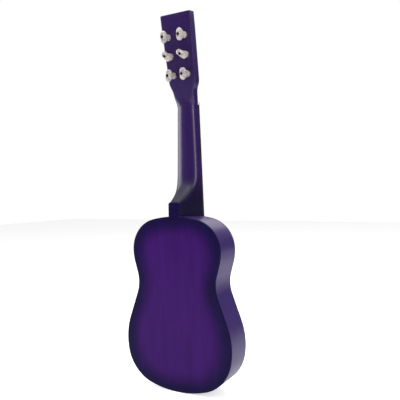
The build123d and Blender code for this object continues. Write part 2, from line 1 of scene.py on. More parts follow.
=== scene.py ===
"""The looks of a child's six-string guitar: lacquered body, neck and headstock, tuners, strings.

Everything is in metres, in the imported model's own frame: +Z up the neck, -Y out of the soundboard,
+Y out of the back, -X to the bass side.
"""
import json
import logging
import math
from collections.abc import Callable, Iterator
from contextlib import contextmanager
from dataclasses import dataclass, field
from enum import Enum

import bmesh
import bpy
import numpy as np
from mathutils import Matrix, Vector

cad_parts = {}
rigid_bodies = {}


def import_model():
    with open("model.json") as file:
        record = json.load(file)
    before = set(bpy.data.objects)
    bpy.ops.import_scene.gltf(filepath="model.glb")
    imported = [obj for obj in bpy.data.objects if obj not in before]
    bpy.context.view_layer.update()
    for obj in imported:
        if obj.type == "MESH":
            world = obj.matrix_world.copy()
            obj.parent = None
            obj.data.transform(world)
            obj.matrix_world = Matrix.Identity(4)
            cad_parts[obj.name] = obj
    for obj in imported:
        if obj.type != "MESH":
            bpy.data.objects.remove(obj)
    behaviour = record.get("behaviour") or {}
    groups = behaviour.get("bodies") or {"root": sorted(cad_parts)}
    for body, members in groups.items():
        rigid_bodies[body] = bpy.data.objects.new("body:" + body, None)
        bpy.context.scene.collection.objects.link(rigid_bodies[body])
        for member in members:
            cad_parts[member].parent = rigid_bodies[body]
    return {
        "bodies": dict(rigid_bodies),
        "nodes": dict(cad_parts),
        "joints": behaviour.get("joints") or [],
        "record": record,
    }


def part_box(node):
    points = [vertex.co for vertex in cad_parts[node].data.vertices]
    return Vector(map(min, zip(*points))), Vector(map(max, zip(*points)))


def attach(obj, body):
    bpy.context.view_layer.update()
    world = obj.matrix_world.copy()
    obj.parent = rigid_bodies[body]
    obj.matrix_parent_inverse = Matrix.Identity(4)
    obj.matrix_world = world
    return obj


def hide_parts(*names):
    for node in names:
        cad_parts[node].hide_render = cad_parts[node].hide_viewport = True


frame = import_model()

MM = 0.001
# How close points are when they count as one, and how near a plane when they lie in it.
SAME_POINT = 0.001 * MM
OUTLINE_JOIN = 0.02 * MM
IN_PLANE = 0.01 * MM
# Heights of the soundhole's middle and of the headstock's foot, where its face starts to lean.
SOUNDHOLE_HEIGHT = 188.0 * MM
HEAD_FOOT = 451.3 * MM
ROOT_BODY = "body"
STRINGS = range(1, 7)
EDGE_ATTRIBUTE = "edge_mm"
log = logging.getLogger("guitar")

Piece = bpy.types.Object
Material = bpy.types.Material
Tree = bpy.types.NodeTree
Node = bpy.types.Node
Socket = bpy.types.NodeSocket


class Slot(str, Enum):
    """The record's material slots."""

    BODY = "lacquered_body"
    NECK = "lacquered_neck"
    KNOB = "knob_plastic"


class Element(str, Enum):
    """What a selection is made of in edit mode."""

    POINTS = "VERT"
    EDGES = "EDGE"
    FACES = "FACE"


# ---- helpers for shaping
def linear(colour: str) -> tuple[float, float, float, float]:
    """Turn an sRGB hex colour into linear light.

    Args:
        colour: Six hex digits with a leading #.

    Returns:
        Red, green, blue and an alpha of 1.
    """
    def channel(start: int) -> float:
        """One channel of the colour, made linear."""
        value = int(colour[start:start + 2], 16) / 255
        return value / 12.92 if value <= 0.04045 else ((value + 0.055) / 1.055) ** 2.4

    return channel(1), channel(3), channel(5), 1.0


def deselect_all() -> None:
    """Leave nothing selected, so that the next operator acts on its own piece only."""
    for piece in bpy.context.scene.objects:
        piece.select_set(False)


def make_active(piece: Piece) -> None:
    """Select one piece and make it the active one."""
    deselect_all()
    piece.select_set(True)
    bpy.context.view_layer.objects.active = piece


@contextmanager
def editing(piece: Piece, element: Element) -> Iterator[None]:
    """Hold a piece in edit mode, with all of it selected to start with.

    Args:
        piece: The piece to edit.
        element: What selections are made of.
    """
    make_active(piece)
    bpy.ops.object.mode_set(mode="EDIT")
    bpy.ops.mesh.select_mode(type=element.value)
    bpy.ops.mesh.select_all(action="SELECT")
    yield
    bpy.ops.object.mode_set(mode="OBJECT")


def pick(piece: Piece, element: Element, test: Callable[..., bool]) -> None:
    """Select the points, edges or faces that pass a test, and nothing else.

    Args:
        piece: A piece in edit mode.
        element: What to select.
        test: Takes a point, edge or face and says whether it is wanted.
    """
    bpy.ops.mesh.select_mode(type=element.value)
    bpy.ops.mesh.select_all(action="DESELECT")
    shape = bmesh.from_edit_mesh(piece.data)
    parts = {Element.POINTS: shape.verts, Element.EDGES: shape.edges, Element.FACES: shape.faces}[element]
    for part in parts:
        if test(part):
            part.select_set(True)
    shape.select_flush_mode()
    bmesh.update_edit_mesh(piece.data)


def start_piece(name: str, add: Callable[..., object], **settings: object) -> Piece:
    """Add a primitive and name it.

    Args:
        name: The new piece's name.
        add: The operator that adds it.
        settings: The operator's properties.

    Returns:
        The piece.
    """
    deselect_all()
    add(**settings)
    piece = bpy.context.object
    piece.name = name
    piece.data.name = name
    return piece


def finish_mesh(piece: Piece, angle: float) -> None:
    """Bake the piece's place into its mesh, point its faces outwards and smooth it.

    Args:
        piece: The piece.
        angle: Edges sharper than this many degrees stay crisp.
    """
    make_active(piece)
    bpy.ops.object.transform_apply()
    with editing(piece, Element.FACES):
        bpy.ops.mesh.remove_doubles(threshold=SAME_POINT)
        bpy.ops.mesh.normals_make_consistent(inside=False)
    make_active(piece)
    bpy.ops.object.shade_smooth_by_angle(angle=math.radians(angle))


def extrude(move: Vector | tuple[float, float, float]) -> None:
    """Extrude what is selected by a move."""
    bpy.ops.mesh.extrude_region_move(TRANSFORM_OT_translate={"value": move})


def modify(piece: Piece, kind: str, **settings: object) -> None:
    """Add a modifier, set it and apply it.

    Args:
        piece: The piece.
        kind: The modifier's type.
        settings: Its properties.
    """
    make_active(piece)
    modifier = piece.modifiers.new(kind.lower(), kind)
    for key, value in settings.items():
        setattr(modifier, key, value)
    bpy.ops.object.modifier_apply(modifier=modifier.name)


def cut_away(piece: Piece, cutter: Piece) -> None:
    """Cut one piece out of another and throw the cutter away."""
    modify(piece, "BOOLEAN", object=cutter, operation="DIFFERENCE", solver="EXACT")
    bpy.data.objects.remove(cutter)


def copy_of(piece: Piece, name: str) -> Piece:
    """Copy a piece with a mesh of its own.

    Args:
        piece: What to copy.
        name: The copy's name.

    Returns:
        The copy.
    """
    twin = piece.copy()
    twin.data = piece.data.copy()
    twin.name = name
    twin.data.name = name
    bpy.context.scene.collection.objects.link(twin)
    return twin


def rod(name: str, start: Vector, end: Vector, radius: float, sides: int = 48) -> Piece:
    """Add a round rod between two points.

    Args:
        name: The rod's name.
        start: The middle of one end.
        end: The middle of the other.
        radius: The rod's radius.
        sides: How many flats stand for its roundness.

    Returns:
        The rod.
    """
    run = end - start
    turn = run.to_track_quat("Z", "Y").to_euler()
    return start_piece(
        name, bpy.ops.mesh.primitive_cylinder_add, vertices=sides, radius=radius, depth=run.length,
        location=(start + end) / 2, rotation=turn)


def smoothstep(value: float) -> float:
    """Ease from 0 to 1."""
    value = min(max(value, 0.0), 1.0)
    return value * value * (3 - 2 * value)


# ---- helper for materials
@dataclass(frozen=True)
class Stop:
    """One colour of a ramp and where it stands."""

    place: float
    colour: str


def set_values(node: Node, values: dict[str | int, object]) -> None:
    """Set a node's inputs, by name or number."""
    for key, value in values.items():
        node.inputs[key].default_value = value


def connect(tree: Tree, node: Node, links: dict[str | int, Node | Socket]) -> None:
    """Link a node's inputs.

    Args:
        tree: The tree that it is in.
        node: The node.
        links: Sources by input: a socket, or a node for its first output.
    """
    for key, source in links.items():
        tree.links.new(source if isinstance(source, Socket) else source.outputs[0], node.inputs[key])


def add_node(
    tree: Tree, kind: str, values: dict[str | int, object] | None = None,
    links: dict[str | int, Node | Socket] | None = None, stops: tuple[Stop, ...] = (), **settings: object,
) -> Node:
    """Add a node with its settings, input values and links.

    Args:
        tree: The material's or world's tree.
        kind: The node's type, without the ShaderNode that it starts with.
        values: Input values by name or number.
        links: Sources by input, as connect takes them.
        stops: The colours of its ramp, if it has one, in order.
        settings: The node's own properties.

    Returns:
        The node.
    """
    node = tree.nodes.new("ShaderNode" + kind)
    for key, value in settings.items():
        setattr(node, key, value)
    set_values(node, values or {})
    connect(tree, node, links or {})
    if stops:
        elements = node.color_ramp.elements
        while len(elements) < len(stops):
            elements.new(0.5)
        for element, stop in zip(elements, stops):
            element.position = stop.place
            element.color = linear(stop.colour)
    return node


@dataclass(frozen=True)
class Finish:
    """What every finish shares: a name, roughness and specular level, and a shader to fill in."""

    name: str = "finish"
    roughness: float = 0.4
    specular: float = 0.5
    metallic: float = 0.0
    coat: float = 0.0
    coat_roughness: float = 0.05

    def build(self) -> Material:
        """Make the material.

        Returns:
            The material, with this finish's pattern on its shader.
        """
        material = bpy.data.materials.new(self.name)
        material.use_nodes = True
        tree = material.node_tree
        shader = tree.nodes["Principled BSDF"]
        set_values(shader, {
            "Roughness": self.roughness, "Specular IOR Level": self.specular, "Metallic": self.metallic,
            "Coat Weight": self.coat, "Coat Roughness": self.coat_roughness})
        self.pattern(tree, shader)
        return material

    def pattern(self, tree: Tree, shader: Node) -> None:
        """Put the finish's own pattern on the shader; each finish has its own.

        Args:
            tree: The material's tree.
            shader: The shader to fill in.
        """

    def grain(
        self, tree: Tree, across: float, along: float, turn: float = 0.0, detail: float = 4.0,
    ) -> Socket:
        """A streaky noise, long along Z.

        Args:
            tree: The material's tree.
            across: Width of a streak in millimetres.
            along: Length of a streak in millimetres.
            turn: Lean of the streaks in degrees.
            detail: Octaves of noise.

        Returns:
            The noise's value.
        """
        place = add_node(tree, "TexCoord")
        mapping = add_node(
            tree, "Mapping", links={"Vector": place.outputs["Object"]}, values={
                "Rotation": (0.0, math.radians(turn), 0.0),
                "Scale": (1 / (across * MM), 1 / (across * MM), 1 / (along * MM)),
            })
        noise = add_node(
            tree, "TexNoise", links={"Vector": mapping},
            values={"Scale": 1.0, "Detail": detail, "Roughness": 0.55})
        return noise.outputs["Fac"]

    def ripple(
        self, tree: Tree, shader: Node, size: float, strength: float,
        socket: str = "Normal", deep: float = 0.05,
    ) -> None:
        """Waviness of a surface, as bump.

        Args:
            tree: The material's tree.
            shader: The shader to bump.
            size: Length of a wave in millimetres.
            strength: How strong the bump is.
            socket: The shader's normal that it goes to.
            deep: Depth of a wave in millimetres.
        """
        place = add_node(tree, "TexCoord")
        noise = add_node(
            tree, "TexNoise", links={"Vector": place.outputs["Object"]},
            values={"Scale": 1 / (size * MM), "Detail": 2.0})
        bump = add_node(
            tree, "Bump", links={"Height": noise.outputs["Fac"]},
            values={"Strength": strength, "Distance": deep * MM})
        connect(tree, shader, {socket: bump})


@dataclass(frozen=True)
class BurstLacquer(Finish):
    """Tinted polyurethane sprayed over birch plywood and buffed: deep violet that darkens to the edge."""

    name: str = "gloss_violet_burst_lacquer_on_birch_ply"
    roughness: float = 0.42
    specular: float = 0.03
    coat: float = 0.1
    coat_roughness: float = 0.06
    # How far the burst reaches in from the edge, and how far it strays, in millimetres.
    reach: float = 34.0
    stray: float = 8.0
    stops: tuple[Stop, ...] = (
        Stop(0.0, "#130a35"), Stop(0.22, "#180b3c"), Stop(0.55, "#280c4a"), Stop(1.0, "#341159"))
    figure: float = 0.16

    def pattern(self, tree: Tree, shader: Node) -> None:
        """Ramp the colour in from the edge, with the plywood's faint figure under it."""
        edge = add_node(tree, "Attribute", attribute_name=EDGE_ATTRIBUTE)
        drift = self.grain(tree, across=60.0, along=60.0, detail=1.0)
        wander = add_node(
            tree, "Math", links={0: drift}, values={1: 2 * self.stray, 2: -self.stray},
            operation="MULTIPLY_ADD")
        inwards = add_node(tree, "Math", links={0: edge.outputs["Fac"], 1: wander}, operation="ADD")
        share = add_node(
            tree, "MapRange", links={"Value": inwards},
            values={"From Min": 0.0, "From Max": self.reach}, interpolation_type="SMOOTHSTEP")
        base = add_node(tree, "ValToRGB", links={"Fac": share}, stops=self.stops)
        # Rotary-cut veneer: faint diagonal flames about 9 mm apart and a finer grain inside them.
        flame = self.grain(tree, across=9.0, along=70.0, turn=24.0, detail=3.0)
        fine = self.grain(tree, across=0.9, along=40.0, turn=4.0)
        both = add_node(tree, "Math", links={0: flame, 1: fine}, operation="ADD")
        tone = add_node(
            tree, "MapRange", links={"Value": both},
            values={"From Min": 0.7, "From Max": 1.3, "To Min": 1 - self.figure, "To Max": 1 + self.figure})
        shade = add_node(tree, "VectorMath", operation="MULTIPLY", links={0: base, 1: tone})
        connect(tree, shader, {"Base Color": shade})
        self.ripple(tree, shader, size=5.0, strength=0.10, socket="Coat Normal")


@dataclass(frozen=True)
class SolidLacquer(Finish):
    """The same tinted lacquer over solid basswood: an even violet with straight grain beneath, darkened
    towards the heel by painted shade.
    """

    name: str = "gloss_violet_lacquer_on_basswood"
    roughness: float = 0.38
    specular: float = 0.15
    coat: float = 0.6
    coat_roughness: float = 0.24
    dark: str = "#200a42"
    light: str = "#2a0f50"
    # Painted shade: between these heights the colour darkens to this shade colour, and the coat thins.
    painted_shade_from: float = 345.0 * MM
    painted_shade_to: float = 302.0 * MM
    painted_shade_colour: str = "#0f062a"
    painted_shade_coat: float = 0.2

    def pattern(self, tree: Tree, shader: Node) -> None:
        """Straight grain about 1.5 mm wide under an even tint, darkened towards the heel by painted shade.
        """
        colour = add_node(
            tree, "ValToRGB", links={"Fac": self.grain(tree, across=1.5, along=60.0)},
            stops=(Stop(0.3, self.dark), Stop(0.7, self.light)))
        place = add_node(tree, "TexCoord")
        apart = add_node(tree, "SeparateXYZ", links={0: place.outputs["Object"]})
        # Painted shade: a share that rises towards the heel, darkening the colour and thinning the coat.
        low = add_node(
            tree, "MapRange", links={"Value": apart.outputs["Z"]},
            values={"From Min": self.painted_shade_from, "From Max": self.painted_shade_to}, interpolation_type="SMOOTHSTEP")
        mixed = add_node(
            tree, "Mix", links={0: low, 6: colour}, values={7: linear(self.painted_shade_colour)}, data_type="RGBA")
        coat = add_node(
            tree, "MapRange", links={"Value": low},
            values={"To Min": self.coat, "To Max": self.painted_shade_coat})
        connect(tree, shader, {"Base Color": mixed.outputs[2], "Coat Weight": coat})
        self.ripple(tree, shader, size=6.0, strength=0.08, socket="Coat Normal")


@dataclass(frozen=True)
class Wood(Finish):
    """Planed wood with its grain along one way: rings of light and dark, and short pores."""

    name: str = "planed_basswood"
    roughness: float = 0.6
    specular: float = 0.3
    dark: str = "#b58e5f"
    light: str = "#d9b98a"
    # Widths of a ring and of a pore, in millimetres.
    ring: float = 2.2
    pore: float = 0.25

    def pattern(self, tree: Tree, shader: Node) -> None:
        """Annual rings and pores, in colour and in bump."""
        rings = add_node(
            tree, "ValToRGB", links={"Fac": self.grain(tree, across=self.ring, along=90.0)},
            stops=(Stop(0.35, self.dark), Stop(0.65, self.light)))
        pores = self.grain(tree, across=self.pore * 2, along=6.0)
        bump = add_node(
            tree, "Bump", links={"Height": pores}, values={"Strength": 0.25, "Distance": self.pore * MM})
        connect(tree, shader, {"Base Color": rings, "Normal": bump})


@dataclass(frozen=True)
class Metal(Finish):
    """Metal, plated or drawn: a clean reflection broken by fine scratches along its length."""

    name: str = "nickel_plate"
    roughness: float = 0.22
    metallic: float = 1.0
    colour: str = "#c9c6c0"
    worn: str = "#a9a59d"
    scratch: float = 0.4

    def pattern(self, tree: Tree, shader: Node) -> None:
        """Slow tarnish in the colour, and scratches in the roughness."""
        tarnish = add_node(
            tree, "ValToRGB", links={"Fac": self.grain(tree, across=4.0, along=4.0, detail=2.0)},
            stops=(Stop(0.35, self.worn), Stop(0.65, self.colour)))
        scratches = self.grain(tree, across=self.scratch, along=8.0)
        rough = add_node(
            tree, "MapRange", links={"Value": scratches},
            values={"To Min": self.roughness * 0.6, "To Max": self.roughness * 1.5})
        connect(tree, shader, {"Base Color": tarnish, "Roughness": rough})


@dataclass(frozen=True)
class MouldedPlastic(Finish):
    """Injection-moulded plastic: slightly milky, with flow marks in pearly grades."""

    name: str = "ivory_abs"
    roughness: float = 0.25
    dark: str = "#cfc8b8"
    light: str = "#e2ddd0"
    # Sizes are in millimetres: a flow mark's, and how deep light goes in.
    swirl: float = 6.0
    glow: float = 0.1
    glow_depth: float = 1.5

    def pattern(self, tree: Tree, shader: Node) -> None:
        """Flow marks a few millimetres across, and light that travels a little inside."""
        place = add_node(tree, "TexCoord")
        noise = add_node(
            tree, "TexNoise", links={"Vector": place.outputs["Object"]},
            values={"Scale": 1 / (self.swirl * MM), "Detail": 3.0, "Distortion": 1.2})
        marks = add_node(
            tree, "ValToRGB", links={"Fac": noise.outputs["Fac"]},
            stops=(Stop(0.35, self.dark), Stop(0.65, self.light)))
        connect(tree, shader, {"Base Color": marks})
        set_values(shader, {
            "Subsurface Weight": self.glow, "Subsurface Radius": (1.0, 0.9, 0.8),
            "Subsurface Scale": self.glow_depth * MM})
        self.ripple(tree, shader, size=1.5, strength=0.12)


@dataclass(frozen=True)
class WoundWire(Finish):
    """Bronze wrapped round a steel core: ridges across the string, one per turn of the wrap."""

    name: str = "bronze_wrap"
    roughness: float = 0.3
    metallic: float = 1.0
    colour: str = "#b08d5b"
    pitch: float = 0.6
    ridge: float = 0.05
    # How many radians a wave texture runs through in one unit.
    wave_rate: float = 20.0

    def pattern(self, tree: Tree, shader: Node) -> None:
        """Ridges along Z. The real wrap is about 0.25 mm, drawn coarser so that it shows."""
        shader.inputs["Base Color"].default_value = linear(self.colour)
        place = add_node(tree, "TexCoord")
        wave = add_node(
            tree, "TexWave", links={"Vector": place.outputs["Object"]},
            values={"Scale": 1 / (self.pitch * MM) / self.wave_rate * math.tau}, bands_direction="Z")
        bump = add_node(
            tree, "Bump", links={"Height": wave.outputs["Fac"]},
            values={"Strength": 0.5, "Distance": self.ridge * MM})
        connect(tree, shader, {"Normal": bump})


@dataclass(frozen=True)
class Mosaic(Finish):
    """The rosette's band: end-grain chips in dark and pale wood round the soundhole."""

    name: str = "rosette_mosaic"
    roughness: float = 0.3
    coat: float = 0.5
    dark: str = "#0f0a14"
    light: str = "#8b6fb0"
    # How many chips go round, a row's width in millimetres, and how soft a chip's edge is.
    chips: float = 72.0
    row: float = 2.0
    soft: float = 0.08

    def pattern(self, tree: Tree, shader: Node) -> None:
        """Chips by angle round the soundhole's middle, in two rows out of step."""
        place = add_node(tree, "TexCoord")
        moved = add_node(
            tree, "VectorMath", operation="SUBTRACT",
            links={0: place.outputs["Object"]}, values={1: (0.0, 0.0, SOUNDHOLE_HEIGHT)})
        apart = add_node(tree, "SeparateXYZ", links={0: moved})
        angle = add_node(
            tree, "Math", links={0: apart.outputs["X"], 1: apart.outputs["Z"]}, operation="ARCTAN2")
        turns = add_node(tree, "Math", operation="MULTIPLY", links={0: angle}, values={1: self.chips / 2})
        out = add_node(tree, "VectorMath", links={0: moved}, operation="LENGTH")
        rows = add_node(
            tree, "Math", operation="MULTIPLY",
            links={0: out.outputs["Value"]}, values={1: math.pi / (self.row * MM)})
        waves = [add_node(tree, "Math", links={0: value}, operation="SINE") for value in (turns, rows)]
        both = add_node(tree, "Math", operation="MULTIPLY", links={0: waves[0], 1: waves[1]})
        share = add_node(
            tree, "MapRange", links={"Value": both}, values={"From Min": -self.soft, "From Max": self.soft})
        chips = add_node(
            tree, "ValToRGB", links={"Fac": share}, stops=(Stop(0.0, self.dark), Stop(1.0, self.light)))
        connect(tree, shader, {"Base Color": chips})


@dataclass(frozen=True)
class AcrylicSheet(Finish):
    """Cast acrylic sheet, white and polished: a near-mirror gloss over an even glow."""

    name: str = "white_acrylic_sheet"
    roughness: float = 0.1
    specular: float = 1.0
    colour: str = "#f4f4f6"
    glow: float = 0.62

    def pattern(self, tree: Tree, shader: Node) -> None:
        """An even white, with a glow that only direct sight shows, so that it lights nothing."""
        set_values(shader, {"Base Color": linear(self.colour), "Emission Color": linear("#ffffff")})
        path = add_node(tree, "LightPath")
        glow = add_node(
            tree, "Math", links={0: path.outputs["Is Camera Ray"]}, values={1: self.glow},
            operation="MULTIPLY")
        connect(tree, shader, {"Emission Strength": glow})


def made(finish: Finish) -> Material:
    """A field whose value is a finish's material, built when its set is."""
    return field(default_factory=finish.build)


@dataclass(frozen=True)
class Finishes:
    """Every finish on the guitar, built once."""

    body: Material = made(BurstLacquer())
    # The sides lie wholly below the heights of the neck's painted shade, so its colour and thinner coat
    # cover them evenly.
    side: Material = made(SolidLacquer(
        name="gloss_violet_lacquer_on_bent_ply", dark="#2f1f55", light="#392862", painted_shade_colour="#35245c",
        painted_shade_coat=0.32, coat=0.4))
    neck: Material = made(SolidLacquer())
    # Bare basswood, sanded: dull and pale, seen only through the soundhole.
    raw: Material = made(Wood())
    # Maple dyed near black and oiled: a low sheen over open pores.
    dyed: Material = made(Wood(name="dyed_maple", roughness=0.42, dark="#17100f", light="#2a201c", ring=1.2))
    nickel: Material = made(Metal())
    # Nickel silver, crowned and polished: warmer than nickel plate.
    fret: Material = made(Metal(
        name="polished_nickel_silver", colour="#cfc9ba", worn="#b5ae9d", roughness=0.18))
    # Steel music wire, drawn and polished: cold and bright.
    steel: Material = made(Metal(name="drawn_steel_wire", colour="#b9b9bb", worn="#98989a", roughness=0.25))
    bronze: Material = made(WoundWire())
    # Brass turned on a lathe: yellow, with a soft shine.
    brass: Material = made(Metal(name="turned_brass", colour="#cfa85a", worn="#b48c43", roughness=0.3))
    # Black-oxide steel: a dark, faintly oily metal.
    black: Material = made(Metal(
        name="black_oxide_steel", colour="#141416", worn="#08080a", roughness=0.35, metallic=0.6))
    ivory: Material = made(MouldedPlastic())
    # Cellulose acetate in pearl: greyish cream with a lilac swirl.
    knob: Material = made(MouldedPlastic(
        name="pearly_cellulose_acetate", dark="#8a827b", light="#c9c2c0", swirl=5.0, glow=0.25,
        roughness=0.3))
    # Acrylic with pearl pigment: a cool sheen in small clouds.
    pearl: Material = made(MouldedPlastic(name="pearl_acrylic", dark="#c9cdd2", light="#f0efe8", swirl=1.5))
    mosaic: Material = made(Mosaic())
    # Cellulose purfling, scraped flush: a plain warm cream.
    line: Material = made(MouldedPlastic(name="ivory_purfling", dark="#c8bd9f", light="#ddd4b9", swirl=3.0))


def dress(piece: Piece, material: Material) -> None:
    """Give a piece, or a node that stays as modelled, its material."""
    piece.data.materials.clear()
    piece.data.materials.append(material)


def place_on(
    piece: Piece, material: Material, body: str, node: str, angle: float = 30.0,
) -> None:
    """Finish a new piece, dress it, ride it on its body and hide the modelled node that it stands for.

    Args:
        piece: The piece as modelled.
        material: Its material.
        body: The body it moves with.
        node: The modelled node that it stands for.
        angle: Edges sharper than this many degrees stay crisp.
    """
    finish_mesh(piece, angle)
    dress(piece, material)
    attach(piece, body)
    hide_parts(node)
    log.info("%s: %d faces on %s", piece.name, len(piece.data.polygons), body)


# ---- places
@dataclass(frozen=True)
class Places:
    """Planes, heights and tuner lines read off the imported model."""

    front: float
    front_inner: float
    back: float
    back_inner: float
    crown: float
    head_out: Vector
    tuners: dict[int, Vector]

    @classmethod
    def read(cls, frame: dict) -> "Places":
        """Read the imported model.

        Args:
            frame: What loading the model returned.

        Returns:
            The places.
        """
        board_low, board_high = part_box("soundboard")
        back_low, back_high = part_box("back_plate")
        joints = {joint["name"]: joint for joint in frame["joints"]}
        tuners = {number: Vector(joints[f"tuner_{number}_turn"]["pos_m"]) for number in STRINGS}
        return cls(
            front=board_low.y,
            front_inner=board_high.y,
            back=back_high.y,
            back_inner=back_low.y,
            crown=board_high.z,
            head_out=Vector(joints["tuner_1_turn"]["axis"]).normalized(),
            tuners=tuners,
        )

    @property
    def head_up(self) -> Vector:
        """The way up the headstock's face."""
        return Vector((0, self.head_out.z, -self.head_out.y))

    @property
    def head_foot(self) -> Vector:
        """The middle of the headstock's foot, on the fingerboard's plane."""
        return Vector((0, self.front, HEAD_FOOT))


# ---- body
@dataclass(frozen=True)
class Arc:
    """A stretch of the outline that turns: its radius, and the heading that it ends on in degrees."""

    radius: float
    heading: float


@dataclass(frozen=True)
class Run:
    """A straight stretch of the outline."""

    length: float


@dataclass(frozen=True)
class BodyOutline:
    """The body's outline, from the tail's middle round the bass or treble side to the crown."""

    stretches: tuple[Arc | Run, ...] = (
        Arc(165.0 * MM, 17.0), Arc(63.0 * MM, 80.0), Arc(101.0 * MM, 110.5), Run(42.0 * MM),
        Arc(53.0 * MM, 74.0), Run(16.5 * MM), Arc(73.5 * MM, 90.0), Arc(49.0 * MM, 166.5))
    button_half: float = 10.0 * MM
    degrees_per_step: float = 2.5

    def trace(self, name: str, y: float) -> Piece:
        """Draw one half of the outline as edges and mirror it into a closed loop.

        Args:
            name: The piece's name.
            y: The plane that it lies in.

        Returns:
            The loop.
        """
        loop = start_piece(
            name, bpy.ops.mesh.primitive_plane_add, size=MM, rotation=(math.pi / 2, 0, 0))
        bpy.ops.object.transform_apply()
        with editing(loop, Element.POINTS):
            bpy.ops.mesh.merge(type="CENTER")
            bpy.ops.transform.translate(value=(0, y, 0))
            point, heading = Vector((0.0, y, 0.0)), 0.0
            for stretch in self.stretches:
                if isinstance(stretch, Run):
                    point = self._straight(point, heading, stretch.length)
                else:
                    point, heading = self._turn(point, heading, stretch), stretch.heading
            crown = point.x / math.sin(math.radians(heading))
            at_button = 180 - math.degrees(math.asin(self.button_half / crown))
            for end in (at_button, 180.0):
                point, heading = self._turn(point, heading, Arc(crown, end)), end
        modify(loop, "MIRROR", use_axis=(True, False, False), merge_threshold=OUTLINE_JOIN)
        with editing(loop, Element.POINTS):
            bpy.ops.mesh.remove_doubles(threshold=OUTLINE_JOIN)
        return loop

    def _straight(self, point: Vector, heading: float, length: float) -> Vector:
        """Extrude the last point along a heading in degrees, and return where it ends."""
        way = Vector((math.cos(math.radians(heading)), 0, math.sin(math.radians(heading)))) * length
        extrude(way)
        return point + way

    def _turn(self, point: Vector, heading: float, arc: Arc) -> Vector:
        """Spin the last point about an arc's centre.

        Args:
            point: Where the last point is.
            heading: The way the outline runs there, in degrees.
            arc: The arc to follow.

        Returns:
            Where it ends.
        """
        turn = math.radians(arc.heading - heading)
        side = math.copysign(1.0, turn)
        start = math.radians(heading)
        left = Vector((-math.sin(start), 0, math.cos(start))) * side
        centre = point + left * arc.radius
        steps = max(2, round(math.degrees(abs(turn)) / self.degrees_per_step))
        bpy.ops.mesh.spin(steps=steps, angle=turn, center=centre, axis=(0, 1, 0))
        return centre + Matrix.Rotation(turn, 3, Vector((0, -1, 0))) @ (point - centre)

    def ring(self) -> np.ndarray:
        """The outline's points, for measuring how far a place is from the edge."""
        loop = self.trace("outline_gauge", 0.0)
        points = np.array([(v.co.x, v.co.z) for v in loop.data.vertices])
        bpy.data.objects.remove(loop)
        return points


